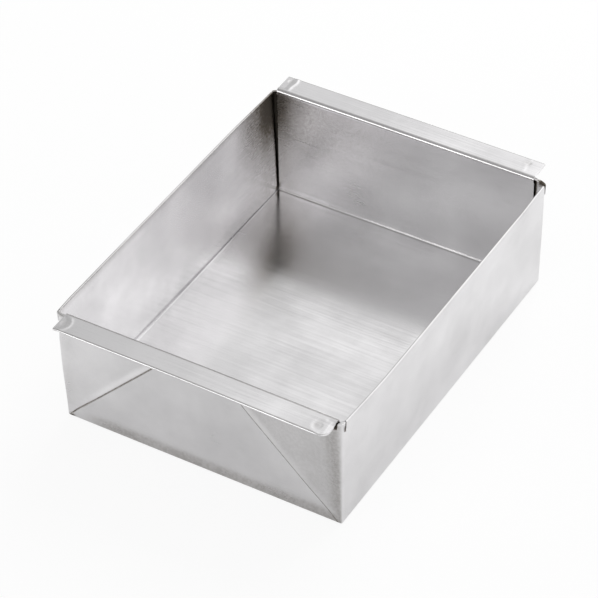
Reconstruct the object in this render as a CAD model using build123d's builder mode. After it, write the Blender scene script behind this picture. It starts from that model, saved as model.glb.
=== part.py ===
"""Two-piece stainless pouring mould: a folded sheet box and a lift-out tray with lifting ears.

Frame: millimetres, origin at the centre of the box's underside, +Z up,
+Y along the length (through both ears), +X across the width.
"""

import os

from build123d import *

os.makedirs("parts", exist_ok=True)

# ---------------------------------------------------------------- sheet metal
sheet = 0.4  # thickness of the stainless sheet that both pieces are folded from
fold_gap = 0.1  # air that stays between sheets folded flat on each other

# ---------------------------------------------------------------- outer box
body_length = 152.0  # along Y at the rim, over the hems of the end walls
body_width = 116.0  # along X at the rim's corners, over the hems of the long walls
side_bow = 1.6  # how far the rim of each long wall bows out, halfway along
body_height = 48.2  # underside of the floor to the top of the rim
wall_lean = 0.3  # how far each wall leans out between floor and rim
rim_corner_radius = 2.2  # outside of the upright corner at the rim
floor_corner_radius = 0.8  # outside of the same corner at the floor
inner_rim_radius = 1.6  # inside of the upright corner at the rim
inner_floor_radius = 0.4  # inside of the same corner at the floor
floor_bend = 0.35  # flat on the outside of the bend round the floor
hem_depth = 4.6  # height of the strip turned down outside the rim
slit_width = 0.6  # relief slit that ends the long walls' hems at each corner
corner_lip = 0.9  # what is left of the hem's height round the corners
corner_cut = 7.5  # how far along the end the hem is cut back to that lip
flap_tip = 1.0  # width of a folded corner flap where it starts at the floor
flap_slope = 1.0  # rise over run of the flaps' folded edges, 1 for a square corner

# ---------------------------------------------------------------- lift-out tray
tray_side_gap = 1.5  # tray's edge to the long wall, at the floor
tray_end_gap = 0.2  # tray's end wall to the box's end wall
ear_gap = 1.0  # underside of the ears above the rim
ear_width = 10.0  # inner face of the tray's end wall to the ear's outer edge
tray_bend_radius = 1.2  # outside of the bend between floor and end wall
ear_bend_radius = 0.5  # inside of the bend between end wall and ear
hem_gap = 0.25  # air inside the hem that is folded under each ear
hem_rim_gap = 1.6  # free edge of that hem to the outside of the box's rim
pinch_length = 4.6  # length at each end of an ear where the hem is pinched flat
pinch_slope = 1.6  # length over which the hem closes from open to flat
weld_diameter = 4.0  # electrode mark that closes each pinched end
weld_depth = 0.12
weld_inset_x = 3.4  # mark's centre from the ear's end
weld_inset_y = 3.4  # mark's centre from the ear's outer edge
ear_corner_radius = 3.5  # the one ear corner that is trimmed round

# ---------------------------------------------------------------- derived sizes
flap_thickness = 2 * sheet + fold_gap
hem_stand_off = sheet + fold_gap
rim_round = sheet - fold_gap / 2  # rounding of the bend along both edges of the rim
wall_half_width = body_width / 2 - hem_stand_off  # outer face of a long wall at the rim
flap_half_length = body_length / 2 - hem_stand_off  # outer face of a flap at the rim
end_half_length = flap_half_length - flap_thickness  # outer face of an end wall at the rim
hem_bottom = body_height - hem_depth
slit_y = body_length / 2 - rim_corner_radius - hem_stand_off - slit_width / 2
tray_half_width = wall_half_width - wall_lean - sheet - tray_side_gap
ear_hem_bend = 0.45 * hem_gap  # inside of the ear's hem
past = 5.0  # how far a cutting tool runs past what it cuts


def lean_at(height):
    """How far a wall has leaned in from its place at the rim, at this height."""
    return wall_lean * (1 - height / body_height)


def bow_at(height, along=0.0):
    """How far a long wall bows out at this height, at this distance along Y from its middle."""
    return side_bow * height / body_height * (1 - (along / flap_half_length) ** 2)


def radius_at(height):
    """Outside radius of the upright corners at this height."""
    return floor_corner_radius + (rim_corner_radius - floor_corner_radius) * height / body_height


def bowed_plan(height, half_width, half_length, radius, bow):
    """Outline with straight ends, long sides that bow out, and round corners."""
    pole = half_width + 2 * bow  # a curve with one pole reaches half way to it
    with BuildSketch(Plane.XY.offset(height)) as plan:
        with BuildLine():
            Bezier((half_width, -half_length), (pole, 0), (half_width, half_length))
            Line((half_width, half_length), (-half_width, half_length))
            Bezier((-half_width, half_length), (-pole, 0), (-half_width, -half_length))
            Line((-half_width, -half_length), (half_width, -half_length))
        make_face()
        fillet(plan.vertices(), radius=radius)
    return plan.sketch


def leaning_block(low, high, grow):
    """Block with the box's plan, its walls' lean and bow and its conical corners, grown all round."""
    with BuildPart() as block:
        for height in (low, high):
            half_width = wall_half_width - lean_at(height) + grow
            half_length = flap_half_length - lean_at(height) + grow
            radius = radius_at(height) + grow
            add(bowed_plan(height, half_width, half_length, radius, bow_at(height)))
        loft(ruled=True)
    return block.part


def bevel_base():
    """Foot of the box, where the walls bend in to the floor."""
    with BuildPart() as base:
        for height, inset in ((0, floor_bend), (floor_bend, 0)):
            half_width = wall_half_width - lean_at(floor_bend) - inset
            half_length = flap_half_length - lean_at(floor_bend) - inset
            radius = radius_at(floor_bend) - inset
            add(bowed_plan(height, half_width, half_length, radius, bow_at(floor_bend)))
        loft(ruled=True)
    return base.part


def cavity():
    """Inside of the box, from the floor's upper face to the rim."""
    with BuildPart() as hollow:
        for height, radius in ((sheet, inner_floor_radius), (body_height, inner_rim_radius)):
            half_width = wall_half_width - lean_at(height) - sheet
            half_length = end_half_length - lean_at(height) - sheet
            add(bowed_plan(height, half_width, half_length, radius, bow_at(height)))
        loft(ruled=True)
    return hollow.part


def end_recess():
    """Space outside one end wall between its two folded corner flaps, at +Y."""
    foot = wall_half_width - wall_lean - flap_tip
    top = foot - body_height / flap_slope
    with BuildPart() as recess:
        with BuildSketch(Plane.YZ):
            with BuildLine():
                Polyline(
                    (end_half_length - wall_lean - floor_bend, 0),
                    (end_half_length - wall_lean, floor_bend),
                    (end_half_length, body_height),
                    (end_half_length + past, body_height),
                    (end_half_length + past, 0),
                    close=True,
                )
            make_face()
        extrude(amount=wall_half_width, both=True)
        with BuildSketch(Plane.XZ):
            with BuildLine():
                Polyline((-foot, 0), (foot, 0), (top, body_height), (-top, body_height), close=True)
            make_face()
        extrude(amount=body_length, both=True, mode=Mode.INTERSECT)
    return recess.part


def rim_hem():
    """Strip that hangs outside the rim, cut back to a lip round the corners, and the rim's bend."""
    with BuildPart() as hem:
        add(leaning_block(hem_bottom, body_height, hem_stand_off))
        add(leaning_block(hem_bottom, body_height - sheet, fold_gap), mode=Mode.SUBTRACT)
        cut_to = body_height - corner_lip
        with Locations((0, 0, cut_to)):
            with GridLocations(2 * wall_half_width, 2 * (slit_y + body_length / 2), 2, 2):
                Box(
                    2 * corner_cut,
                    body_length,
                    cut_to,
                    align=(Align.CENTER, Align.CENTER, Align.MAX),
                    mode=Mode.SUBTRACT,
                )
    return hem.part


# ---------------------------------------------------------------- outer box
# One sheet folded up like a carton. Each corner's spare square is folded in two and laid
# flat on the outside of the end wall, so an end wall carries two triangular flaps.
with BuildPart() as outer_box:
    add(bevel_base())
    add(leaning_block(floor_bend, body_height, 0))
    recess = end_recess()
    add(recess, mode=Mode.SUBTRACT)
    add(recess.mirror(Plane.XZ), mode=Mode.SUBTRACT)
    add(rim_hem())
    add(cavity(), mode=Mode.SUBTRACT)
    fillet(outer_box.edges().group_by(Axis.Z)[-1], radius=rim_round)

    # Relief slits part the long walls' hems from the corners, down to the wall's own face.
    slit_face = wall_half_width + bow_at(body_height, slit_y) + fold_gap / 2
    slit_x = slit_face + hem_stand_off
    with Locations((0, 0, hem_bottom - past)):
        with GridLocations(2 * slit_x, 2 * slit_y, 2, 2):
            Box(
                2 * hem_stand_off,
                slit_width,
                hem_depth + 2 * past,
                align=(Align.CENTER, Align.CENTER, Align.MIN),
                mode=Mode.SUBTRACT,
            )
outer_box.part.label = "outer_box"
export_step(outer_box.part, "parts/outer_box.step")

# ---------------------------------------------------------------- lift-out tray
# A second sheet: a floor that lies on the box's floor, two end walls, and an ear bent out
# over each end of the box. Each ear's outer edge is hemmed under to stiffen it, and the hem
# is pinched flat and spot-welded at both ends of the ear.
tray_foot = end_half_length - wall_lean - sheet - tray_end_gap  # outer face, at the floor
tray_top = end_half_length - sheet - tray_end_gap  # the same face, at the rim
ear_under = body_height + ear_gap
ear_outer = tray_top - sheet + ear_width
hem_inside = ear_outer - sheet
hem_free_edge = body_length / 2 + hem_rim_gap
open_half = tray_half_width - pinch_length - pinch_slope
flat_half = tray_half_width - pinch_length
wall_line = [(tray_foot, sheet), (tray_top, ear_under)]
wall_radii = [tray_bend_radius, ear_bend_radius]


def bent_sheet(half_line, half_radii, half_span):
    """Sheet bent along a line, given for the +Y half as its under face, and carried across the tray."""
    with BuildPart() as stretch:
        with BuildSketch(Plane.YZ):
            with BuildLine() as under_face:
                FilletPolyline(
                    *[(-y, z) for y, z in reversed(half_line)],
                    *half_line,
                    radius=half_radii[::-1] + half_radii,
                )
                offset(under_face.wires()[0], amount=sheet, side=Side.LEFT, mode=Mode.REPLACE)
            make_face()
        extrude(amount=half_span, both=True)
    return stretch.part


def pinched_end():
    """Two flat layers at one end of an ear and the slope down to the open hem, at +X +Y."""
    with BuildPart() as end:
        # The return leg climbs to lie against the ear.
        with BuildSketch(Plane.XZ.offset(-hem_free_edge)):
            with BuildLine():
                Polyline(
                    (open_half, ear_under - hem_gap - sheet),
                    (flat_half, ear_under - sheet),
                    (tray_half_width, ear_under - sheet),
                    (tray_half_width, ear_under),
                    (flat_half, ear_under),
                    (open_half, ear_under - hem_gap),
                    close=True,
                )
            make_face()
        extrude(amount=-(ear_outer - hem_free_edge))
        # The rounded outer edge shallows with it.
        with BuildSketch(Plane.XZ.offset(-hem_inside)):
            with BuildLine():
                Polyline(
                    (open_half, ear_under - hem_gap - sheet),
                    (flat_half, ear_under - sheet),
                    (flat_half, ear_under),
                    (open_half, ear_under),
                    close=True,
                )
            make_face()
        extrude(amount=-sheet)
    return end.part


with BuildPart() as lift_out_tray:
    ear_line = wall_line + [(ear_outer, ear_under)]
    hem_line = wall_line + [
        (hem_inside, ear_under),
        (hem_inside, ear_under - hem_gap),
        (hem_free_edge, ear_under - hem_gap),
    ]
    add(bent_sheet(ear_line, wall_radii, tray_half_width))
    add(bent_sheet(hem_line, wall_radii + [ear_hem_bend, ear_hem_bend], open_half))
    pinch = pinched_end()
    add(pinch)
    add(pinch.mirror(Plane.YZ))
    add(pinch.mirror(Plane.XZ))
    add(pinch.mirror(Plane.XZ).mirror(Plane.YZ))

    # One electrode mark on each pinched end.
    with BuildSketch(Plane.XY.offset(ear_under + sheet)):
        with GridLocations(
            2 * (tray_half_width - weld_inset_x), 2 * (ear_outer - weld_inset_y), 2, 2
        ):
            Circle(weld_diameter / 2)
    extrude(amount=-weld_depth, mode=Mode.SUBTRACT)

    # One ear corner is trimmed round.
    trimmed = lift_out_tray.edges().filter_by(Axis.Z).sort_by_distance(
        (tray_half_width, -ear_outer, ear_under)
    )[0]
    fillet(trimmed, radius=ear_corner_radius)
lift_out_tray.part.label = "lift_out_tray"
export_step(lift_out_tray.part, "parts/lift_out_tray.step")
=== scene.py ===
# %% [markdown]
# # A dessert mould folded from bright stainless sheet
#
# The real object is two loose pieces of thin sheet metal: a box folded up like a carton,
# and a tray that lies in it and lifts a set dessert out by two ears. Nothing is cast or
# machined, so what the eye reads is sheet: tight bends, hems, a folded flap on each corner,
# walls that are almost flat but never quite, and soft reflections that show it.
#
# Its two solids give every size and place here, in metres: +X across the width, +Y along
# the length to the back ear, +Z up.

import math
from collections import namedtuple

import bpy
import numpy as np
from mathutils import Matrix, Vector


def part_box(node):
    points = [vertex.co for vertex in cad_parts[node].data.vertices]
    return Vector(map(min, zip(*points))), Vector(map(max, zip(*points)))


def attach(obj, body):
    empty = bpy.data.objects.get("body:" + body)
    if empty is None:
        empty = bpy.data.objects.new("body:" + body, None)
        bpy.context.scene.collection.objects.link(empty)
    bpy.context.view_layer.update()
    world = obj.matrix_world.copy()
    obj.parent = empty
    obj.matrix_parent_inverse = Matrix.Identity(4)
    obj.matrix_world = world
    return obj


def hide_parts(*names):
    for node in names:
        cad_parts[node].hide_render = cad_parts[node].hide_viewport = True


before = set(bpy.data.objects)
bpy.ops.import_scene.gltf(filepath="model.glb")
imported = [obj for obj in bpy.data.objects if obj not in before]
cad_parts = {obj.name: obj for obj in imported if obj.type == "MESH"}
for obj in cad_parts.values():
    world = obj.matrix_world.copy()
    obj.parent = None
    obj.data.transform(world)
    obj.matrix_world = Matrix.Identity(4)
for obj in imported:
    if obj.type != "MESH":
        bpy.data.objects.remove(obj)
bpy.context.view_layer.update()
MM = 0.001
box_low, box_high = (np.array(corner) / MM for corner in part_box("outer_box"))
tray_low, tray_high = (np.array(corner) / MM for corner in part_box("lift_out_tray"))
print("box reaches", box_high.round(2), "mm, tray", tray_low.round(2), tray_high.round(2), "mm")

# %% [markdown]
# ## The sizes of the sheet work
#
# Both pieces are 0.4 mm sheet. A hem is a strip turned back on itself, so it is two sheets
# and a little air. The box's spare corners are folded in two and laid on the end walls as
# triangular flaps, which is why an end wall is set back behind its flaps.

# %% Sheet, hem and fold sizes in millimetres
sheet = 0.4
hem_depth = 4.6
stand_off = 0.5  # outer face of the hem to the face behind it
flap_depth = 0.9  # outer face of a flap to the outer face of the end wall behind it
side_bow = 1.6  # the rims of the long walls bow out by up to this
lean = 0.3  # a wall leans out this far from floor to rim
rim_height = box_high[2]
hem_foot = rim_height - hem_depth  # lower edge of the hem
long_face = box_high[0] - side_bow - stand_off  # outer face of a long wall, at the rim's corners
flap_face = box_high[1] - stand_off  # outer face of a folded flap, at the rim
end_face = flap_face - flap_depth  # outer face of an end wall, at the rim
flap_foot = long_face - lean - 1.0  # where a flap's folded edge starts at the floor
print(f"walls at {long_face:.2f} and {end_face:.2f} mm, hem down to {hem_foot:.2f} mm")

# %% [markdown]
# ## The camera
#
# A long lens from well back keeps parallel edges nearly parallel, as product shots do. The
# camera is turned by its own three axes, so a matrix with those axes as columns places it.

# %% Camera
sensor, focal = 36, 188.36789  # millimetres
mould_width = 0.116  # metres
stand_back, sideways, upwards = 10.0149, -0.03193, 0.14993  # from the origin, in widths of the mould


def camera_axes(azimuth, elevation, roll):
    """Right, up and back of a camera that looks down on the object, turned about its own axis by roll."""
    a, e, r = (math.radians(angle) for angle in (azimuth, elevation, roll))
    back = np.array([math.sin(a) * math.cos(e), -math.cos(a) * math.cos(e), math.sin(e)])
    level = np.array([math.cos(a), math.sin(a), 0])
    up = np.cross(back, level)
    return level * math.cos(r) + up * math.sin(r), up * math.cos(r) - level * math.sin(r), back


right, up, back = camera_axes(31.117, 40.911, -1.070)
spot = (stand_back * back + sideways * right + upwards * up) * mould_width
lens = bpy.data.cameras.new("camera")
lens.sensor_width, lens.lens, lens.clip_start = sensor, focal, 0.01
camera = bpy.data.objects.new("camera", lens)
camera.matrix_world = Matrix(np.vstack((np.stack((right, up, back, spot), 1), (0, 0, 0, 1))).tolist())
bpy.context.collection.objects.link(camera)
bpy.context.scene.camera = camera
print("camera stands", round(float(np.linalg.norm(spot)), 2), "m away, lens", round(lens.lens), "mm")

# %% [markdown]
# ## Sheet metal as closed skins
#
# A folded sheet could be a plane with a Solidify modifier, but hems and flaps lie a tenth
# of a millimetre apart, and Solidify would push them through each other. So each piece is
# one closed skin of rings: ring after ring of points with the same number of points each,
# joined to the next ring by four-sided faces. Each end is closed by one flat face.

# %% Curves
def ease(start, end, value):
    """0 before start and 1 after end, and 3t^2 - 2t^3 between them, which leaves and arrives level."""
    t = np.clip((value - start) / (end - start), 0, 1)
    return t * t * (3 - 2 * t)


def sway(u, v, seed, shortest=38, longest=95, waves=6):
    """Sum of slow sine waves, each with its own length, heading and start, scaled to about -1 to 1."""
    dice = np.random.default_rng(seed)
    length, heading, start = dice.uniform((shortest, 0, 0), (longest, math.tau, math.tau), (waves, 3)).T
    u, v = np.broadcast_arrays(u, v)
    along = u[..., None] * np.cos(heading) + v[..., None] * np.sin(heading)
    return np.sin(math.tau * along / length + start).sum(-1) / waves


print("ease at a quarter:", ease(0, 1, 0.25))

# %% A closed skin of rings, and its volume
def closed_skin(name, rings, wear_and_shade):
    """Point j of ring i joins points j + 1 and i + 1 in a face; j wraps round, and a cap closes each end.

    rings is (ring, point, xyz) in millimetres. The wear and painted shade are kept for each point, for the
    finish to read:
    0 is bright metal, 1 is tarnish, which in seams is painted shade, and 2 is painted black shade. Turns of
    more than 40 degrees shade as edges.
    """
    count, around = rings.shape[:2]
    i, j = np.meshgrid(np.arange(count - 1), np.arange(around), indexing="ij")
    here, above = i * around, (i + 1) * around
    after = (j + 1) % around
    faces = np.stack((here + j, here + after, above + after, above + j), -1)
    last = (count - 1) * around
    caps = [list(range(around - 1, -1, -1)), list(range(last, last + around))]
    mesh = bpy.data.meshes.new(name)
    mesh.from_pydata((rings.reshape(-1, 3) * MM).tolist(), [], faces.reshape(-1, 4).tolist() + caps)
    marks = mesh.attributes.new("wear_and_shade", "FLOAT", "POINT")
    marks.data.foreach_set("value", np.broadcast_to(wear_and_shade, rings.shape[:2]).astype(np.float32).ravel())
    mesh.shade_smooth()
    mesh.set_sharp_from_angle(angle=math.radians(40))
    mesh.validate()
    piece = bpy.data.objects.new(name, mesh)
    bpy.context.collection.objects.link(piece)
    return piece


def volume_of(piece):
    """Sum over triangles of corner . (corner x corner) / 6: positive when the faces point outwards."""
    mesh = piece.data
    mesh.calc_loop_triangles()
    corners = np.empty(len(mesh.vertices) * 3)
    mesh.vertices.foreach_get("co", corners)
    index = np.empty(len(mesh.loop_triangles) * 3, int)
    mesh.loop_triangles.foreach_get("vertices", index)
    a, b, c = corners.reshape(-1, 3)[index.reshape(-1, 3)].transpose(1, 0, 2)
    return float((a * np.cross(b, c)).sum() / 6)


print("skins are laid out in millimetres and made in metres, at", MM, "to one")

# %% [markdown]
# ## The box's plan, a quarter at a time
#
# Seen from above at any height, the outside of the box runs along a long wall, round the
# corner, along the folded flap to its fold, back under the flap and then along the end
# wall. The flap is a triangle: its fold climbs at 45 degrees, so the place where the line
# turns back moves in by a millimetre for each millimetre of height. The corner is nearly
# sharp at the floor and opens into an oval at the rim, as a fold in sheet does.

# %% Stations along a quarter
slit = (73.5, 74.1)  # the long wall's hem is cut through here, to let the corner fold
slit_sides = [side + step for side in slit for step in (-0.01, 0.01)]  # a station just each side of each
long_run = np.concatenate((np.linspace(0, 72.8, 34), slit_sides))
in_slit = slice(len(long_run) - 3, len(long_run) - 1)
lead_on = np.array([0.3, 0.75])  # two more stations, at these shares of the way on to the corner
turn_steps = 14  # round the corner
flap_run = 16  # along the flap, as far as the ones near its fold
near_fold = np.array([6.0, 4.6, 3.5, 2.6, 1.9, 1.3, 0.8, 0.4, 0.15, 0])  # distances from the fold
fold_steps = 9  # round the fold
wall_run = 22  # along the end wall, closest together beside the seam
print(len(long_run) + len(lead_on), "stations along half a side,", turn_steps, "steps round a corner")

# %% How the box changes with height
def lean_at(z):
    """How far a wall has leaned in from its place at the rim."""
    return lean * (1 - z / rim_height)


def flare_at(z):
    """How far an end wall's foot stands out, to meet the flaps in one straight bend along the floor."""
    return flap_depth * (1 - ease(0.8, 5, z))


def corner_radii(z, flap):
    """The corner's half axes at height z, along the long wall and the end: nearly sharp at the floor."""
    risen = z / rim_height
    return 0.5 + flap.open * risen, 0.4 + 3.4 * risen**0.7 + flap.wide * ease(0.55, 1, risen)


def corner_turn(x, y, along_y, along_x):
    """Quarter of an ellipse from the long wall's face x to the end's face y."""
    angle = np.linspace(0, math.pi / 2, turn_steps + 1)
    return x - along_x * (1 - np.cos(angle)), y - along_y * (1 - np.sin(angle))


def long_stations(corner_start):
    """Fixed stations along the long wall, drawn in where the corner starts early, then two that lead on."""
    fixed = long_run * np.minimum(1, (corner_start - 0.1) / long_run[-1])
    return np.concatenate((fixed, fixed[:, -1:] + (corner_start - fixed[:, -1:]) * lead_on), 1)


def flap_stations(run):
    """Distances from the fold for a flap that is run wide: one beside the corner, even ones, near_fold."""
    near = near_fold * np.minimum(1, run / 12)
    far = near[:, :1] + (run - near[:, :1]) * np.linspace(1, 0, flap_run + 1)[1:-1]
    return np.concatenate((run - np.minimum(0.25, run / 8), far, near), 1)


print("an end wall's foot stands out by", round(float(flare_at(0.0)), 2), "mm")

# %% What differs from corner to corner
# puff: how far the flap swells between corner and fold. ridge: how far its last 4 mm rise to the fold.
# shift, drift: how far the fold starts from its place, and how much more for each mm of height.
# splay: how far the corner leans out. open, wide: how much its bend opens towards the rim, along the side
# and along the end. dull: how much that bend and its flap are darkened, partly wear and partly painted
# shade.
Flap = namedtuple("Flap", "puff ridge shift drift splay open wide dull")
# Back right, back left, front left and front right: no two corners were folded quite alike.
flap_set = (
    Flap(puff=0.08, ridge=0.2, shift=0, drift=0, splay=0.1, open=1.3, wide=2.4, dull=0.2),
    Flap(puff=0.12, ridge=0.25, shift=0.3, drift=0.01, splay=0.2, open=1.3, wide=2.4, dull=0.2),
    Flap(puff=-0.16, ridge=0.5, shift=0.8, drift=0.036, splay=0.65, open=1.0, wide=2.4, dull=0.08),
    Flap(puff=-0.1, ridge=0.34, shift=0, drift=0, splay=0, open=0.6, wide=1.2, dull=0.47),
)
fade = hem_foot - 9  # from this height up to the hem, puff, ridge and splay fade out


def quarter_wear_and_shade(z, away, run, from_seam, flap):
    """Wear and painted shade along a quarter: painted shade of 1 in the seam under the fold, less on the
    handled corner, partly wear and partly painted shade, and a painted shade strip along the foot.
    """
    # Painted shade: a darker strip up the foot, standing for the reflected contact shadow on the table.
    foot = 0.48 * (1 - ease(2.4, 5.6, z))
    # On the corner's bend and on the flap, the darkening is partly wear and partly painted shade of a
    # dimmer reflection.
    corner = flap.dull * ease(0.1, 0.8, np.linspace(0, 1, turn_steps + 1))
    rubbed_and_shaded = flap.dull * (1 - 0.55 * ease(0, 5, run - away)) * (0.45 + 0.55 * ease(0, 5, away))
    # Painted shade in the seam under the fold and on the wall beside it.
    fold_shade, seam_shade = 1 - ease(0.05, 0.5, away), 1 - ease(0.1, 0.9, from_seam)
    along = (
        np.zeros((len(z), len(long_run) + len(lead_on))),
        corner * np.ones_like(z),
        np.maximum.reduce((fold_shade, rubbed_and_shaded, foot * np.ones_like(away))),
        # Painted shade round the fold and back under the flap.
        np.ones((len(z), fold_steps + 3)),
        np.maximum(seam_shade, foot),
    )
    return np.concatenate(along, 1)


print("the corners lean out by", [flap.splay for flap in flap_set], "mm")

# %% One corner of the outside
def outer_quarter(z, inset, flap):
    """Outside of the box at heights z for one corner: long wall, corner, flap, fold and end wall.

    inset draws every face in, for the bend round the floor. Each point is x, y and its wear and painted
    shade.
    """
    z, inset = z[:, None], inset[:, None]
    side, front, wall = (face - lean_at(z) - inset for face in (long_face, flap_face, end_face))
    wall = wall + flare_at(z)
    splay = flap.splay * ease(1, 26, z) * (1 - ease(fade, hem_foot + 0.5, z))
    arc_x, arc_y = corner_turn(side + splay, front, *corner_radii(z, flap))
    low_y = long_stations(arc_y[:, :1])
    low_x = side + splay * ease(30, 70, low_y)

    fold = flap_foot + flap.shift + flap.drift * z - z - inset
    half = 0.455 * (front - wall) + 0.02  # the fold's radius: two sheets and a little air
    fold_x = fold + half  # where it turns back
    run = arc_x[:, -1:] - fold_x
    away = flap_stations(run)
    swell = flap.puff * np.sin(math.pi * (1 - away / run) ** 0.8) + flap.ridge * (1 - ease(0, 3.6, away))
    swell *= ease(1, 16, z) * (1 - ease(fade, hem_foot + 1, z))
    flap_x, flap_y = fold_x + away, front + swell

    angle = np.linspace(math.pi / 2, 1.5 * math.pi, fold_steps + 1)[1:]
    round_x, round_y = fold_x + half * np.cos(angle), flap_y[:, -1:] - half + half * np.sin(angle)
    hidden = fold_x + np.minimum(1.6, (side - fold) / 4)  # the seam is followed this far under the flap
    back_x = np.concatenate((hidden, hidden, fold_x), 1)
    back_y = np.concatenate((round_y[:, -1:], wall, wall), 1)
    wall_x = (fold - 0.05) * (1 - np.concatenate(([0.0], np.geomspace(0.012, 1, wall_run))))
    wall_y = np.broadcast_to(wall, wall_x.shape)

    x = np.concatenate((low_x, arc_x, flap_x, round_x, back_x, wall_x), 1)
    y = np.concatenate((low_y, arc_y, flap_y, round_y, back_y, wall_y), 1)
    return np.stack((x, y, quarter_wear_and_shade(z, away, run, wall_x[:, :1] - wall_x, flap)), -1)


trial_height, plain_flap = np.array([20.0]), Flap(*[0] * len(Flap._fields))
points = outer_quarter(trial_height, np.zeros(1), plain_flap).shape[1]
end_points = points - len(long_run) - len(lead_on) - turn_steps - 1
print(points, "points round a quarter,", end_points, "of them along half an end")

# %% A plain corner, and four corners as one ring
def plain_quarter(side, front, along_y, along_x, slit_side):
    """Plain rounded outline for one corner, with as many points as the outer one.

    In the slit its side steps in to slit_side, and where that is deep, shade is painted into it as into a
    seam.
    """
    sizes = np.broadcast_arrays(side, front, along_y, along_x, slit_side)
    side, front, along_y, along_x, slit_side = (size[:, None] for size in sizes)
    arc_x, arc_y = corner_turn(side, front, along_y, along_x)
    low_y = long_stations(arc_y[:, :1])
    low_x = np.broadcast_to(side, low_y.shape).copy()
    low_x[:, in_slit] = slit_side
    end_x = arc_x[:, -1:] * (1 - np.arange(1, end_points + 1) / end_points)
    x = np.concatenate((low_x, arc_x, end_x), 1)
    y = np.concatenate((low_y, arc_y, np.broadcast_to(front, end_x.shape)), 1)
    wear_and_shade = np.zeros_like(x)
    # Painted shade in a deep slit.
    wear_and_shade[:, in_slit] = side - slit_side > 0.2
    return np.stack((x, y, wear_and_shade), -1)


def all_round(quarters):
    """Four quarters, each mirrored to its corner and turned to run on from the last, as one closed ring."""
    flips = ((1, 1, 1), (-1, 1, 1), (-1, -1, 1), (1, -1, 1))
    laid = [quarter * flip for quarter, flip in zip(quarters, flips)]
    laid = [quarter[:, ::-1] if k % 2 else quarter for k, quarter in enumerate(laid)]
    return np.concatenate([quarter[:, :-1] for quarter in laid], 1)


def all_round_alike(quarter):
    """The same quarter at all four corners."""
    return all_round([quarter] * 4)


print("a full ring has", 4 * (points - 1), "points")

# %% [markdown]
# ## The box's skin, ring by ring
#
# The rings start in the middle of the floor, go up the inside, over the rim, down the
# outside of the hem, round its lower edge and up behind it, and then down the outside of
# the walls and in under the floor. Slow waves a tenth of a millimetre high push both faces
# of a wall the same way: thin sheet is never flat, and a bright one shows it at once.

# %% Rings of the inside
floor_shares = np.array([0.08, 0.5, 0.9])  # the floor's rings, as shares of its size


def stack(flat, z, scale=None):
    """Plan points (ring, point, x y wear) and heights of rings or points, as one array of x, y, z, wear."""
    z = np.broadcast_to(np.asarray(z, float).reshape(len(flat), -1), flat.shape[:2])
    plan = flat[..., :2] if scale is None else flat[..., :2] * scale[:, None, None]
    return np.concatenate((plan, z[..., None], flat[..., 2:]), -1)


def inner_rings():
    """Inside of the box: floor from the middle out, the bend at its edge, and up the wall."""
    tuck = 0.3  # the bend's radius
    angle = np.linspace(0, math.pi / 2, 5)[1:]
    floor, wall = np.full(len(floor_shares) + 1, sheet), np.linspace(2, rim_height - 0.6, 21)
    z = np.concatenate((floor, sheet + tuck * (1 - np.cos(angle)), wall))
    inset = np.concatenate((np.full(len(floor), tuck), tuck * (1 - np.sin(angle)), 0 * wall))
    scale = np.concatenate((floor_shares, np.ones(len(z) - len(floor_shares))))
    side = long_face - sheet - lean_at(z) - inset
    front = end_face - sheet - lean_at(z) - inset + flare_at(z)
    radius = 0.4 + 1.2 * z / rim_height
    return stack(all_round_alike(plain_quarter(side, front, radius, radius, side)), z, scale)


inside = inner_rings()
print(len(inside), "rings inside, up to", round(float(inside[..., 2].max()), 2), "mm")

# %% Rings of the hem
rim_radius, cut_back = 0.45, 0.88  # of the rim's bend, and how much of the hem is cut away at a corner
rim_foot = rim_height - rim_radius
slit_floor = 0.05  # in the slit the outline stands only this far outside the wall
hem_profile = [  # height, then how far outside the wall the hem is, and how far where the slit is
    (rim_height - 0.8, stand_off, slit_floor),
    (rim_height - 1.6, stand_off, slit_floor),
    (rim_height - 3, stand_off, slit_floor),
    (hem_foot + 0.5, stand_off, slit_floor),
    (hem_foot + 0.12, stand_off, slit_floor),
    (hem_foot + 0.03, stand_off - 0.04, 0.045),
    (hem_foot, stand_off - 0.2, 0.04),
    (hem_foot + 0.03, 0.13, 0.03),
    (hem_foot + 0.6, 0.1, 0.02),
    (rim_height - 2, 0.1, 0.02),
]


def hem_quarter(z, grow, slit_grow, flap):
    """The hem's outline at heights z, grow outside the wall, and slit_grow outside it where the slit is."""
    along_y, along_x = corner_radii(z, flap)
    side, front = long_face - lean_at(z), flap_face - lean_at(z)
    return plain_quarter(side + grow, front + grow, along_y + grow, along_x + grow, side + slit_grow)


def hem_outline(rows):
    """The hem's outline all round, from rows of height, distance outside the wall and that in the slit."""
    columns = np.array(rows).T
    return all_round([hem_quarter(*columns, flap) for flap in flap_set])


def hem_rings():
    """Down the outside of the hem, round its lower edge, and back up behind it.

    It hangs to its full depth along the walls, and is cut back to a narrow lip round the corners.
    """
    flat = hem_outline(hem_profile)
    x, y = flat[..., 0], flat[..., 1]
    kept = 1 - cut_back * ease(48, 52, np.abs(x)) * (np.abs(y) > slit[1])
    full = np.array(hem_profile)[:, :1]
    return stack(flat, rim_foot - (rim_foot - full) * kept)


hem = hem_rings()
print(len(hem), "rings round the hem")

# %% Rings of the rim
def rim_rings(inner, outer):
    """Over the rim: a quarter turn up from the inner edge, and a quarter turn down to the outer one."""
    angle = np.linspace(0, math.pi / 2, 6)[:, None]
    across = outer - inner
    reach = np.linalg.norm(across[..., :2], axis=-1)
    radius = np.minimum(rim_radius, reach / 2)
    share = (radius * (1 - np.cos(angle)) / reach)[..., None]
    drop = radius * (1 - np.sin(angle))
    flat = np.concatenate((inner + across * share, outer - across * share[::-1]), 0)
    return stack(flat, rim_height - np.concatenate((drop, drop[::-1]), 0))


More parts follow.
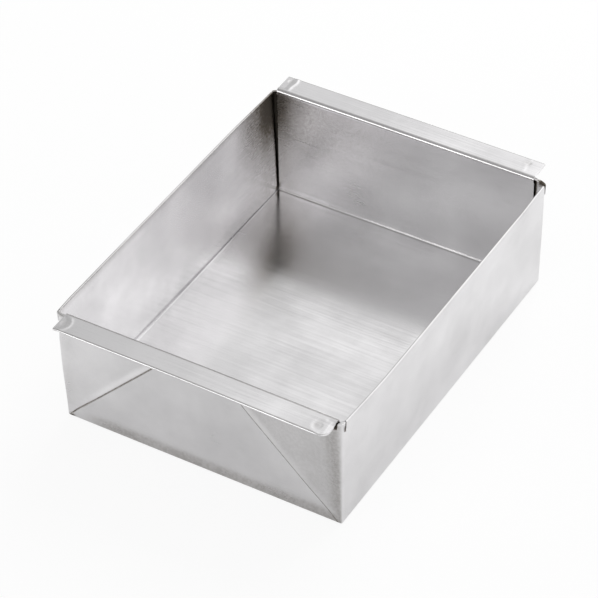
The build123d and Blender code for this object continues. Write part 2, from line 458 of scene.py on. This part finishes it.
rim_outer = hem_outline([(rim_height, stand_off, slit_floor)])
rim_outer[..., 2] = 0  # the slit shows below the rim's bend and not on it
corner, inner_side, inner_front = np.array([1.6]), long_face - sheet, end_face - sheet
rim_inner = all_round_alike(plain_quarter(inner_side, inner_front, corner, corner, inner_side))
rim = rim_rings(rim_inner, rim_outer)
print(len(rim), "rings over the rim")

# %% Rings of the outside
def outer_rings():
    """Down the outside from behind the hem, and round the bend to the underside."""
    curl = 0.7  # the bend's radius
    angle = np.linspace(0, math.pi / 2, 6)
    behind_hem = [rim_height - 2, hem_foot + 0.6, hem_foot + 0.05]
    upright = np.concatenate((behind_hem, np.linspace(hem_foot - 0.4, 1.4, 26)))
    z = np.concatenate((upright, curl * (1 - np.sin(angle)), 0 * floor_shares))
    inset = np.concatenate((0 * upright, curl * (1 - np.cos(angle)), np.full(len(floor_shares), curl)))
    scale = np.concatenate((np.ones(len(upright) + len(angle)), floor_shares[::-1]))
    flat = all_round([outer_quarter(np.maximum(z, curl), inset, flap) for flap in flap_set])
    return stack(flat, z, scale)


outside = outer_rings()
print(len(outside), "rings outside, from behind the hem to the middle of the underside")

# %% Bows and waves of the box's walls
def bowed(x, y, z):
    """How far the long walls bow out: not at all at the floor, most at the rim, less near the corners."""
    left = side_bow - 0.7 * ease(42, 74, y) - 0.5 * ease(64, 80, -y)
    right = 1.3 - 0.45 * ease(50, 80, y) - 1.2 * ease(44, 84, -y)
    return np.sign(x) * np.where(x < 0, left, right) * z / rim_height * ease(44, 57, np.abs(x))


def sprung(rings):
    """Slow waves, both faces of each wall alike, that die out at the corners, the floor and the rim."""
    x, y, z = rings[..., :3].transpose(2, 0, 1)
    free_z = ease(0.5, 14, z) * (1 - 0.75 * ease(30, rim_height, z))
    on_side, on_end = np.abs(x) > long_face - 2.2, np.abs(y) > end_face - 1.6
    side_wave = sway(y, z, 4) * np.sign(x) + 0.4 * sway(y, z * 1.3, 9)
    end_wave = sway(x, z, 12) * np.sign(y) + 0.4 * sway(x * 1.2, z, 21)
    side_height = np.where(x > 0, 0.07, 0.11) * ease(0, 22, 74 - np.abs(y))
    end_height = 0.09 * ease(0, 16, 50 - np.abs(x))
    moved = rings.copy()
    moved[..., 0] += np.where(on_side, side_height * side_wave * free_z, 0) + bowed(x, y, z)
    moved[..., 1] += np.where(on_end, end_height * end_wave * free_z, 0)
    return moved


box_rings = sprung(np.concatenate((inside, rim, hem, outside)))
print("the long walls' rims reach", round(float(np.abs(box_rings[..., 0]).max()), 2), "mm from the middle")

# %% Wear, tear and painted shade of the box, and its closed skin
# Beside the front ear's right end the rim is torn down to a notch, where the corner's layers part, and the
# notch is painted black as the shade under the ear.
edge_x, edge_y = rim_outer[0, :, 0], rim_outer[0, :, 1]
notch = ease(53.8, 54.4, edge_x) * (1 - ease(55.4, 56.0, edge_x)) * (edge_y < -end_face)
notch_depth = 1.4


def inside_tarnish_and_shade(x, y, z):
    """Tarnish and painted shade that creep along the left wall and up it, and painted black shade beside
    the tray's back edges.
    """
    # Partly tarnish and partly painted shade of the corner.
    creeping_tarnish_and_shade = (0.85 * ease(42, 62, y) + 0.5 * ease(60, 67, y)) * (0.35 + 0.65 * ease(15, 42, z))
    # The black at the left corner and beside the right edge is painted shade in the gaps.
    left = np.maximum(creeping_tarnish_and_shade, 1.9 * ease(72, 73, y)) * (x < -53)
    right = 2 * ease(52.6, 53.6, x) * (1 - ease(54.7, 55.4, x)) * (y > 70)
    facing_in = np.arange(len(z)) < len(inside) + 4
    return np.maximum(left, right) * (facing_in[:, None] & (z > 1))


def box_wear_and_shade(rings):
    """The strongest of wear and painted shade at each point.

    The folds' own, with its painted foot shade, is less at the front foot's left. The rim's bend is dull,
    and duller on the left.
    Painted black shade fills the torn notch, a crease at the back right corner and a gap under the front
    left one.
    """
    x, y, z, fold_wear_and_shade = rings.transpose(2, 0, 1)
    below_rim = rim_height - z
    rim_bend = (1 - ease(0.4, 1.2, below_rim)) * np.where(x < 0, 0.3 + 0.5 * ease(45, 65, y), 0.06)
    # Painted black shade in the torn notch, under the ear.
    notch_shade = 1.8 * notch * (1 - ease(1.8, 3.2, below_rim))
    # Painted black shade in the crevice at the back right corner.
    crevice_shade = 1.4 * (1 - ease(0.5, 1.2, below_rim)) * ease(55, 56, x) * ease(72.4, 73, y)
    # The painted shade along the front foot is lighter towards its left end.
    at_front = y < 1 - end_face
    foot_shade_eased = at_front & (z < 6) & (fold_wear_and_shade < 0.5)
    fold_wear_and_shade = np.where(foot_shade_eased, fold_wear_and_shade * ease(-54, -38, x), fold_wear_and_shade)
    # Painted shade in the gap under the front left flap, at the foot.
    foot_gap_shade = 1.7 * np.exp(-(((x + 55.4) / 0.9) ** 2) - ((z - 0.5) / 0.7) ** 2) * at_front
    return np.maximum.reduce((fold_wear_and_shade, rim_bend, notch_shade, crevice_shade, inside_tarnish_and_shade(x, y, z), foot_gap_shade))


worn_and_shaded = box_wear_and_shade(box_rings)
box_rings[..., 2] -= notch_depth * notch * ease(rim_height - 4, rim_height - 1.2, box_rings[..., 2])
box_rings[..., 0] = np.clip(box_rings[..., 0], box_low[0], box_high[0])
box_rings[..., 1] = np.clip(box_rings[..., 1], -box_high[1], box_high[1])
box_piece = closed_skin("folded_box", box_rings[:, ::-1, :3], worn_and_shaded[:, ::-1])
print("box", box_rings.shape[:2], "rings and points, its metal", round(volume_of(box_piece) * 1e9), "mm3")

# %% [markdown]
# ## The tray, carried across from a bent line
#
# Seen from the side the tray is one line: floor, bend, end wall, bend, ear, and the hem
# turned back under the ear's edge. The line runs through the middle of the sheet, and each
# of its points carries a direction square to it, so both faces lie half a sheet away. The
# ends of each ear are pinched shut and spot-welded, so there the hem closes, the top sinks
# a little, and the electrode leaves a round mark. One ear corner is trimmed round.

# %% The tray's sizes in millimetres
half_sheet = sheet / 2
tray_half = tray_high[0]
ear_edge, ear_width = tray_high[1], 10.0
ear_middle = tray_high[2] - half_sheet  # the middle of the ear's sheet
floor_middle = tray_low[2] + half_sheet
wall_top = ear_edge - ear_width + half_sheet
wall_foot = wall_top - lean
hem_end = box_high[1] + 1.6  # free edge of the ear's hem
foot_radius, shoulder_radius = 1.0, 1.2  # the bends from floor to wall and from wall to ear
turned = math.pi / 2 - math.atan2(lean, ear_middle - floor_middle)  # how far each of them turns the sheet
floor_end = wall_foot - foot_radius * math.tan(turned / 2)
ear_start = wall_top + shoulder_radius * math.tan(turned / 2)
print(f"the floor is {2 * floor_end:.1f} mm long and an ear {ear_edge - ear_start:.1f} mm wide")

# %% Ear ends
# A pinched end of an ear. flat: how much of its length is pressed flat. in_x, in_y, radius: where the press
# mark's centre is, from the ear's end and from its outer edge, and its radius. depth: how far the end is
# pressed down. ridge: how high the sheet swells beside it. weld_x, weld_y, weld, weld_depth: the
# electrode's mark in the same way. The left end comes first.
Pinch = namedtuple("Pinch", "flat in_x in_y radius depth ridge weld_x weld_y weld weld_depth")
back_ear = (
    Pinch(2.9, 2.2, 2.8, 1.0, 0.13, 0.08, 2.3, 2.8, 1.0, 0.05),
    Pinch(4.8, 3.4, 3.4, 2.0, 0.06, 0.01, 5.8, 2.9, 1.3, 0.04),
)
front_ear = (
    Pinch(1.0, 0.4, 4.4, 2.9, 0.15, 0.06, 2.1, 4.3, 1.2, 0.03),
    Pinch(3.0, 4.4, 4.0, 2.4, 0.08, 0.01, 5.0, 4.0, 1.6, 0.04),
)
square_corner, trimmed_corner = 0.35, 3.5  # radii of an ear's corners


def pinched(from_end, from_edge, pinch):
    """How far a pinched end has sunk. It is the part near the end joined to a round press mark, by the soft
    minimum -ln(e^-2a + e^-2b) / 2 of the distances a and b to their outlines."""
    beyond = from_end - pinch.flat
    outside_mark = np.hypot(from_end - pinch.in_x, from_edge - pinch.in_y) - pinch.radius
    near = -0.5 * np.log(np.exp(-2 * beyond) + np.exp(-2 * outside_mark))
    sunk = pinch.depth * (1 - ease(-0.4, 0.8, near)) - pinch.ridge * np.exp(-(((near - 1.2) / 0.6) ** 2))
    weld = np.hypot(from_end - pinch.weld_x, from_edge - pinch.weld_y) - pinch.weld
    return sunk + pinch.weld_depth * (1 - ease(-0.5, 0.3, weld))


def sink_of(x, y, trimmed, pinches):
    """How far an ear has sunk at x, y: its pinched ends, and the end rolled down at the trimmed corner."""
    from_end = tray_half - np.abs(x)
    sunk = np.where(x < 0, *(pinched(from_end, ear_edge - y, pinch) for pinch in pinches))
    rolled = 0.3 * (1 - ease(0, 1.8, from_end)) * ease(wall_top + 1.5, wall_top + 4, y)
    return sunk + np.where(trimmed & (x > 0), rolled, 0)


def edge_of_ear(x, trimmed):
    """Outer edge of an ear at x, with its corners rounded."""
    radius = np.where(trimmed & (x > 0), trimmed_corner, square_corner)
    past = np.clip(radius - (tray_half - np.abs(x)), 0, radius)
    return ear_edge - (radius - np.sqrt(radius**2 - past**2))


print("pinched ends sink up to", max(pinch.depth for pinch in back_ear + front_ear), "mm")

# %% The tray's line from the middle of the floor to the shoulder
def floor_to_shoulder():
    """What is the same all across: floor, bend, end wall, bend. Gives y, z and slope."""
    floor_y = np.concatenate((np.linspace(0, floor_end - 2, 26), [floor_end - 0.6, floor_end - 0.15]))
    floor = np.stack((floor_y, np.full(len(floor_y), floor_middle)))
    rise, fall = np.linspace(0, turned, 9), np.linspace(turned, 0, 8)
    above_floor, below_ear = foot_radius * (1 - np.cos(rise)), shoulder_radius * (1 - np.cos(fall))
    foot = np.stack((floor_end + foot_radius * np.sin(rise), floor_middle + above_floor))
    shoulder = np.stack((ear_start - shoulder_radius * np.sin(fall), ear_middle - below_ear))
    share = np.concatenate(([0.004, 0.015], np.linspace(0.04, 0.97, 20), [0.985, 0.996]))
    wall = foot[:, -1:] + (shoulder[:, :1] - foot[:, -1:]) * share
    slope = np.concatenate((0 * floor_y, rise, np.full(len(share), turned), fall))
    return (*np.concatenate((floor, foot, wall, shoulder), 1), slope)


print(len(floor_to_shoulder()[0]), "points from the middle of the floor to the ear")

# %% And on to the end of the hem
Line = namedtuple("Line", "y z square_y square_z slope")  # square: the direction square to the sheet


def tray_half_line(x, trimmed, pinches):
    """Half of the tray's line for each x, as (point, x) arrays.

    After the shoulder the ear runs level, turns back through half a circle and comes back under itself.
    """
    gap = 0.015 + 0.25 * ease(4.2, 5.8, tray_half - np.abs(x))  # the hem is closed at the pinched ends
    hem_radius = (sheet + gap) / 2
    begin, finish = ear_start + 0.05, edge_of_ear(x, trimmed) - half_sheet - hem_radius
    level = np.concatenate((np.linspace(0, 0.93, 26), [0.97, 0.995]))[:, None]
    back_turn = np.linspace(0, math.pi, 11)[1:, None]
    returned = np.concatenate(([0.02, 0.06], np.linspace(0.15, 1, 14)))[:, None]
    shared_y, shared_z, shared_slope = (run[:, None] for run in floor_to_shoulder())
    parts_y = (
        shared_y * np.ones_like(x),
        begin + level * (finish - begin),
        finish + hem_radius * np.sin(back_turn),
        finish + returned * (hem_end - finish),
    )
    parts_z = (
        shared_z * np.ones_like(x),
        ear_middle * np.ones((len(level), len(x))),
        ear_middle - hem_radius * (1 - np.cos(back_turn)),
        ear_middle - 2 * hem_radius * np.ones_like(returned),
    )
    y, z = np.concatenate(parts_y), np.concatenate(parts_z)
    slope = np.concatenate((shared_slope, 0 * level, -back_turn, 0 * returned - math.pi))
    drop = sink_of(x, y, trimmed, pinches) * ease(ear_start, ear_start + 1.2, y) * (z > ear_middle - 1.5)
    return Line(y, z - drop, -np.sin(slope) + 0 * y, np.cos(slope) + 0 * y, slope)


lip = 0.06  # rounding of a cut edge
from_side = np.concatenate((np.linspace(0, 0.6, 5)[:-1], np.arange(0.6, 8.2, 0.32), [9.0, 10.2, 12.0]))
even = np.linspace(-tray_half + 14.5, tray_half - 14.5, 34)
across = np.concatenate((-tray_half + from_side, even, (tray_half - from_side)[::-1]))
across = np.clip(across, -tray_half + lip, tray_half - lip)
back_line = tray_half_line(across, False, back_ear)
front_line = tray_half_line(across, True, front_ear)
print(len(across), "stations across,", len(back_line.y), "points from mid floor to the back hem's end")

# %% Rings of the tray
def joined(part, sign=1):
    """Front half reversed, turned to -Y by a sign of -1, then the back half: one run from hem to hem."""
    return np.concatenate((sign * getattr(front_line, part)[:0:-1], getattr(back_line, part)))


line_y, line_z = joined("y", -1), joined("z")
square_y, square_z = joined("square_y", -1), joined("square_z")


def tray_rings():
    """Around the sheet at each point: upper face, a rounded edge, under face back, and the other edge."""
    x = np.broadcast_to(across, line_y.shape)
    upper, under = (
        np.stack((x, line_y + offset * square_y, line_z + offset * square_z), -1)
        for offset in (half_sheet, -half_sheet)
    )
    edges = []
    angle = np.linspace(math.pi / 4, 3 * math.pi / 4, 3)[:, None]
    for column, side in ((-1, 1), (0, -1)):
        top, bottom = upper[:, column], under[:, column]
        middle, half = (top + bottom)[:, None] / 2, (top - bottom)[:, None] / 2
        rounding = middle + half * np.cos(angle) * 1.25  # a flattened half circle
        rounding[..., 0] += side * lip * np.sin(angle)[:, 0]
        edges.append(rounding)
    return np.concatenate((upper, edges[0], under[:, ::-1], edges[1][:, ::-1]), 1)


plain_tray = tray_rings()
print("tray", plain_tray.shape[:2], "rings and points")

# %% Waves and slant of the tray
def relaxed(rings):
    """Slow waves of the floor, end walls and ears, and the slight slant of a tray folded by hand."""
    x, y, z = rings.transpose(2, 0, 1)
    to_edge = tray_half - np.abs(x)
    on_floor = (1 - ease(1.5, 5, z)) * ease(0, 12, 72 - np.abs(y)) * ease(0, 4, to_edge)
    on_wall = ease(3, 18, z) * (1 - ease(30, 44, z)) * ease(0, 15, to_edge) * ease(20, 60, np.abs(y))
    on_ear = ease(rim_height - 1.6, rim_height - 0.2, z)
    to_right, outwards = (1 + x / tray_half) / 2, (np.abs(y) - wall_top) / (ear_edge - wall_top)
    crown = np.where(y < 0, 0.2, 0.1) * (1 - np.cos(math.pi * np.clip(x / tray_half, -1, 1))) / 2
    tilt = (0.25 + to_right**2 * (0.2 + 0.9 * outwards)) * (y < 0)
    moved = rings.copy()
    moved[..., 0] += -0.4 - 0.0108 * y - 0.3 * on_ear * (y > 0)
    moved[..., 1] += 0.06 * sway(x, z, 44) * np.sign(y) * on_wall
    moved[..., 2] += 0.11 * (1 + sway(x, y, 31)) * on_floor
    moved[..., 2] -= (crown + 0.03 * (1 + sway(x, y, 57, 22, 60)) + tilt) * on_ear
    return moved


tray_skin = relaxed(plain_tray)
print(f"the ears reach {np.abs(tray_skin[..., 1]).max():.2f} mm from the middle")

# %% Wear and painted shade of the tray, and its closed skin
spots = (  # dull ones on the ears: centre x and y, radius, strength
    (-52.8, -79.3, 2.6, 0.14),
    (49.8, -79.6, 1.6, 0.22),
    (-52.7, 80.8, 1.6, 0.14),
    (49.4, 80.8, 1.4, 0.25),
)
# Tarnish and painted shade of the back wall's upper face, darkest at its left end: three layers that fade
# between two distances from its left edge.
tarnish_and_shade_layers = ((0.14, 0, 8), (0.3, 0, 34), (0.3, 25, 70))


def face_wear_and_shade(rings):
    """Spots fade as e^-(distance / radius)^2. The end walls are dull along their cut edges too, and painted
    darker there as the shade of the gap.
    """
    x, y, z = rings.transpose(2, 0, 1)
    on_wall = ease(1.5, 4, z) * (z < rim_height - 0.3)
    facing_in = np.arange(x.shape[1]) < len(across)
    # Tarnish and painted shade, darkest at the back wall's left end.
    tarnish_and_shade = sum(strength * (1 - ease(start, end, x + tray_half)) for strength, start, end in tarnish_and_shade_layers)
    tarnish_and_shade *= (y > 0) * (0.3 + 0.7 * ease(10, 40, z)) * facing_in
    # The cut edges: dull, and painted darker as the shade of the gap beside them.
    edge_wear_and_shade = np.where(y < 0, 0.7, 0.4) * (np.abs(x) > tray_half - 0.07)
    dull = sum(s * np.exp(-((x - a) ** 2 + (y - b) ** 2) / r**2) for a, b, r, s in spots)
    return dull * (z > rim_height) + np.maximum(tarnish_and_shade, edge_wear_and_shade) * on_wall


def bend_wear():
    """Wear of the bends, which are where the slope changes: those of the ears, and those of their hems."""
    slope = joined("slope")[:, 0]
    at_front = np.arange(len(slope)) < len(front_line.slope)
    hemmed = slope < -0.01
    dulled = np.where(at_front, np.where(hemmed, 0.12, 0.4), np.where(hemmed, 0.3, 0.2))
    return dulled * (np.abs(np.gradient(slope)) > 0.02)


tray_piece = closed_skin("lifting_tray", tray_skin, bend_wear()[:, None] + face_wear_and_shade(plain_tray))
print("tray's metal", round(volume_of(tray_piece) * 1e9), "mm3")

# %% [markdown]
# ## Giving the pieces to the frame
#
# Each skin stands for the CAD solid that it details, hides it and rides on that solid's body.

# %% Ride and replace
for piece, node, body, finish in (
    (box_piece, "outer_box", "box", "stainless_box"),
    (tray_piece, "lift_out_tray", "tray", "stainless_tray"),
):
    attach(piece, body)
    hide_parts(node)
    print(piece.name, len(piece.data.polygons), "faces, rides on", body)

# %% [markdown]
# ## Bright cold-rolled stainless
#
# Such sheet leaves the mill rolled between polished rolls, so it mirrors its surroundings
# softly, with faint lines along the rolling direction and a cloudy bloom. The colour is a
# nearly neutral grey, and the roughness is about 0.2. Hard bends, handled corners and places
# that dry slowly have lost their shine, and shade is painted into seams, gaps and crevices.
# Each point of a skin carries a value for both, from 0, where the sheet is bright, through 1,
# where it is tarnished a brownish grey or has painted shade in a seam, to 2, where painted
# black shade fills a gap.

# %% Nodes and colours
def linear(code):
    """sRGB hex to linear light: v / 12.92 below 0.04045, else ((v + 0.055) / 1.055) ** 2.4."""
    value = np.array([int(code[k : k + 2], 16) for k in (1, 3, 5)]) / 255
    return (*np.where(value <= 0.04045, value / 12.92, ((value + 0.055) / 1.055) ** 2.4), 1.0)


def add(tree, kind, inputs=(), **settings):
    """Adds a node with its properties set. inputs gives sockets, by name or number, values or outputs."""
    made = tree.nodes.new(kind)
    for key, value in settings.items():
        setattr(made, key, value)
    for key, value in dict(inputs).items():
        if isinstance(value, bpy.types.NodeSocket):
            tree.links.new(value, made.inputs[key])
        else:
            made.inputs[key].default_value = value
    return made


MATH, NOISE, DOT = "ShaderNodeMath", "ShaderNodeTexNoise", "ShaderNodeVectorMath"
RAMP = "ShaderNodeMapRange"  # sockets 1 and 2 are the ends that it maps from, 3 and 4 those that it maps to
MIX = "ShaderNodeMix"  # sockets 6 and 7 are its two colours
print("mid grey #808080 is", round(linear("#808080")[0], 3), "in linear light")

# %% Tone and roughness of the steel
# The brownish grey serves for tarnish and for shade painted into seams; the near black is painted shade for
# gaps and crevices.
BRIGHT, BLOOMED, TARNISH_AND_SHADE, SHADE_BLACK = (linear(code) for code in ("#F1F0F1", "#DFDEDF", "#6B6358", "#1C1A17"))
polish = 0.2  # roughness of the bright sheet


def steel_tone(tree, place, bloom, lines, streaks, wear_and_shade):
    """Bright grey mottled by bloom and lines, then tarnish up to a wear of 1, which in seams is painted
    shade, and painted black shade from 1 to 2.
    """
    mottled = add(tree, MATH, {0: lines, 1: streaks, 2: bloom}, operation="MULTIPLY_ADD").outputs[0]
    low, high = 0.3 + 0.5 * streaks, 0.7 + 0.5 * streaks
    mottled = add(tree, RAMP, {"Value": mottled, 1: low, 2: high}).outputs[0]
    tone = add(tree, MIX, {"Factor": mottled, 6: BRIGHT, 7: BLOOMED}, data_type="RGBA").outputs[2]
    # Tarnish, and the shade painted with it, is blotchy, in spots of about a millimetre.
    blotches = add(tree, NOISE, {"Vector": place, "Scale": 900.0, "Detail": 2.0}).outputs[0]
    blotches = add(tree, RAMP, {"Value": blotches, 1: 0.35, 2: 0.65, 3: 0.7, 4: 1.0}).outputs[0]
    tarnish_and_shade = add(tree, MATH, {0: wear_and_shade, 1: blotches}, operation="MULTIPLY").outputs[0]
    tone = add(tree, MIX, {"Factor": tarnish_and_shade, 6: tone, 7: TARNISH_AND_SHADE}, data_type="RGBA").outputs[2]
    # Painted black shade, for values above 1.
    painted_shade = add(tree, MATH, {0: wear_and_shade, 1: 1.0}, operation="SUBTRACT").outputs[0]
    return add(tree, MIX, {"Factor": painted_shade, 6: tone, 7: SHADE_BLACK}, data_type="RGBA").outputs[2]


def steel_roughness(tree, bloom, lines, wear_and_shade):
    """The polish, a little up or down with the bloom and the lines, and 0.1 more for each 1 of wear."""
    cloudy = {"Value": bloom, 1: 0.3, 2: 0.7, 3: polish - 0.04, 4: polish + 0.05}
    streaky = {"Value": lines, 1: 0.35, 2: 0.65, 3: -0.03, 4: 0.03}
    cloudy, streaky = add(tree, RAMP, cloudy).outputs[0], add(tree, RAMP, streaky).outputs[0]
    rough = add(tree, MATH, {0: cloudy, 1: streaky}, operation="ADD").outputs[0]
    return add(tree, MATH, {0: wear_and_shade, 1: 0.1, 2: rough}, operation="MULTIPLY_ADD").outputs[0]


print("in linear light bright sheet is", round(BRIGHT[0], 2), "and tarnish", round(TARNISH_AND_SHADE[0], 2))

# %% The steel
def cold_rolled(name, rolling, streaks):
    """Mirror-rolled sheet. rolling is how many lines per metre show along x, y and z, few along the roll.

    streaks is how much the lines add to the mottled tone of the bloom.
    """
    steel = bpy.data.materials.new(name)
    steel.use_nodes = True
    tree = steel.node_tree
    tree.nodes.clear()
    place = add(tree, "ShaderNodeTexCoord").outputs["Object"]
    wear_and_shade = add(tree, "ShaderNodeAttribute", attribute_name="wear_and_shade").outputs["Fac"]
    # Bloom: clouds 25 mm across, with finer ones inside them.
    bloom = add(tree, NOISE, {"Vector": place, "Scale": 40.0, "Detail": 4.0, "Roughness": 0.55}).outputs[0]
    # Rolling lines: a real one is a few hundredths of a millimetre wide, and ten times that here to show.
    drawn_out = add(tree, "ShaderNodeMapping", {"Vector": place, "Scale": rolling}).outputs[0]
    grain = {"Vector": drawn_out, "Scale": 1.0, "Detail": 3.0, "Roughness": 0.6}
    lines = add(tree, NOISE, grain).outputs[0]
    bump = add(tree, "ShaderNodeBump", {"Height": lines, "Strength": 0.12, "Distance": 0.00002}).outputs[0]
    surface = {
        "Base Color": steel_tone(tree, place, bloom, lines, streaks, wear_and_shade),
        "Metallic": 1.0,
        "Roughness": steel_roughness(tree, bloom, lines, wear_and_shade),
        "Normal": bump,
    }
    shader = add(tree, "ShaderNodeBsdfPrincipled", surface)
    add(tree, "ShaderNodeOutputMaterial", {"Surface": shader.outputs[0]})
    return steel


# The box's lines run level round it, and its tone shows none of them. The tray's run across it.
box_piece.data.materials.append(cold_rolled("cold_rolled_box", (60, 60, 1600), 0.0))
tray_piece.data.materials.append(cold_rolled("cold_rolled_tray", (30, 1600, 1600), 0.55))
print([material.name for material in bpy.data.materials])

# %% [markdown]
# ## A white table and soft light
#
# Bright sheet shows what stands round it, so the light is made first of surroundings: a
# white table, and a white room that metal sees with a pattern. The room is dim near the
# horizon and straight above, and it grows brighter towards +X, as it does beside a window.
# That step runs through the direction which the two ears mirror, so an ear that tips a
# fraction of a degree shows it. A second window, behind and farther round, is mirrored by
# what tips more, such as the edge rolled down at the trimmed corner. A large soft lamp
# behind and above lights the matt table and isn't seen in the metal. A small one low in
# front draws a bright line along each bend.

# %% The table
def mirrored(tree):
    """1 for a ray that comes from metal or glass."""
    rays = add(tree, "ShaderNodeLightPath")
    either = {0: rays.outputs["Is Glossy Ray"], 1: rays.outputs["Is Transmission Ray"]}
    return add(tree, MATH, either, operation="MAXIMUM").outputs[0]


table_mesh = bpy.data.meshes.new("table")
table_mesh.from_pydata([(-4, -4, 0), (4, -4, 0), (4, 4, 0), (-4, 4, 0)], [], [(0, 1, 2, 3)])
table = bpy.data.objects.new("table", table_mesh)
bpy.context.collection.objects.link(table)
paper = bpy.data.materials.new("white_paper")
paper.use_nodes = True
tree = paper.node_tree
tree.nodes.clear()
matt = add(tree, "ShaderNodeBsdfDiffuse", {"Color": linear("#F2F2F2")})
glow = add(tree, "ShaderNodeEmission", {"Color": (1, 1, 1, 1), "Strength": 1.0})
# To the camera the paper is nine tenths plain white and one tenth lit, so it keeps a faint shadow. To metal
# it is one fifth plain white.
rays = add(tree, "ShaderNodeLightPath")
in_metal = add(tree, MATH, {0: mirrored(tree), 1: 0.2}, operation="MULTIPLY").outputs[0]
seen = {0: rays.outputs["Is Camera Ray"], 1: 0.9, 2: in_metal}
share = add(tree, MATH, seen, operation="MULTIPLY_ADD").outputs[0]
both = add(tree, "ShaderNodeMixShader", {0: share, 1: matt.outputs[0], 2: glow.outputs[0]})
add(tree, "ShaderNodeOutputMaterial", {"Surface": both.outputs[0]})
table_mesh.materials.append(paper)
print("table", [round(side, 1) for side in table.dimensions], "m")

# %% The room
room = bpy.data.worlds.new("room")
room.use_nodes = True
tree = room.node_tree
tree.nodes.clear()
direction = add(tree, "ShaderNodeTexCoord").outputs["Generated"]
height = add(tree, "ShaderNodeSeparateXYZ", {0: direction}).outputs["Z"]
to_back = add(tree, DOT, {0: direction, 1: (-0.39, 0.92, 0)}, operation="DOT_PRODUCT").outputs["Value"]
to_right = add(tree, DOT, {0: direction, 1: (0.81, 0.3, 0.5)}, operation="DOT_PRODUCT").outputs["Value"]

# The walls are dim at the horizon and turn bright above it, higher up towards the back. The ceiling is dim.
bright_above = add(tree, RAMP, {"Value": to_back, 1: 0.2, 2: 0.6, 3: 0.25, 4: 0.55}).outputs[0]
low_wall = add(tree, RAMP, {"Value": height, 1: 0.05, 2: bright_above, 3: 0.5, 4: 1.0}).outputs[0]
ceiling = add(tree, RAMP, {"Value": height, 1: 0.2, 2: 1.0, 3: 1.0, 4: 0.35}).outputs[0]
walls = add(tree, MATH, {0: low_wall, 1: ceiling}, operation="MULTIPLY").outputs[0]

# The window's side, and the second window, which comes up and goes down again farther to the right.
step = {"Value": to_right, 1: 0.14, 2: 0.25, 3: 0.84, 4: 1.74}
window_side = add(tree, RAMP, step, interpolation_type="SMOOTHSTEP").outputs[0]
behind = add(tree, RAMP, {"Value": to_back, 1: 0.2, 2: 0.5, 3: 0.0, 4: 0.7}).outputs[0]
rising = add(tree, RAMP, {"Value": to_right, 1: 0.3, 2: 0.42, 3: 0.0, 4: behind}).outputs[0]
falling = add(tree, RAMP, {"Value": to_right, 1: 0.6, 2: 0.72, 3: 0.7, 4: 0.0}).outputs[0]
second = add(tree, MATH, {0: rising, 1: falling}, operation="MINIMUM").outputs[0]
windows = add(tree, MATH, {0: window_side, 1: second}, operation="ADD").outputs[0]

# Metal sees that pattern, the camera plain white, and matt surfaces an even light of 0.65.
pattern = add(tree, MATH, {0: walls, 1: windows}, operation="MULTIPLY").outputs[0]
metal = add(tree, MATH, {0: mirrored(tree), 1: pattern}, operation="MULTIPLY").outputs[0]
rays = add(tree, "ShaderNodeLightPath")
direct = add(tree, MATH, {0: rays.outputs["Is Camera Ray"], 1: metal}, operation="ADD").outputs[0]
fallen = {0: rays.outputs["Is Diffuse Ray"], 1: 0.65, 2: direct}
strength = add(tree, MATH, fallen, operation="MULTIPLY_ADD").outputs[0]
white = add(tree, "ShaderNodeBackground", {"Color": (1, 1, 1, 1), "Strength": strength})
add(tree, "ShaderNodeOutputWorld", {"Surface": white.outputs[0]})
bpy.context.scene.world = room
print("the room has", len(tree.nodes), "nodes")

# %% Lamps
def soft_box(name, towards, distance, size, brightness, in_metal):
    """Square area lamp, that far from the mould in that direction, facing it, mirrored by metal or not.

    A matt lamp of area A and brightness L, where white paper in plain light is 1, takes a power of pi A L.
    """
    data = bpy.data.lights.new(name, "AREA")
    data.shape, data.size, data.energy = "SQUARE", size, math.pi * size**2 * brightness
    lamp = bpy.data.objects.new(name, data)
    away = Vector(towards).normalized()
    lamp.location = away * distance
    lamp.rotation_euler = away.to_track_quat("Z", "Y").to_euler()
    lamp.visible_camera = False
    lamp.visible_glossy = in_metal
    bpy.context.collection.objects.link(lamp)


soft_box("key", (0.04, 0.85, 0.8), distance=1.2, size=0.8, brightness=3.8, in_metal=False)
soft_box("edge_light", (-0.39, -0.87, 0.33), distance=1.0, size=0.35, brightness=2.4, in_metal=True)
bpy.context.scene.view_settings.view_transform = "Standard"
print("lamps:", [light.name for light in bpy.data.lights])
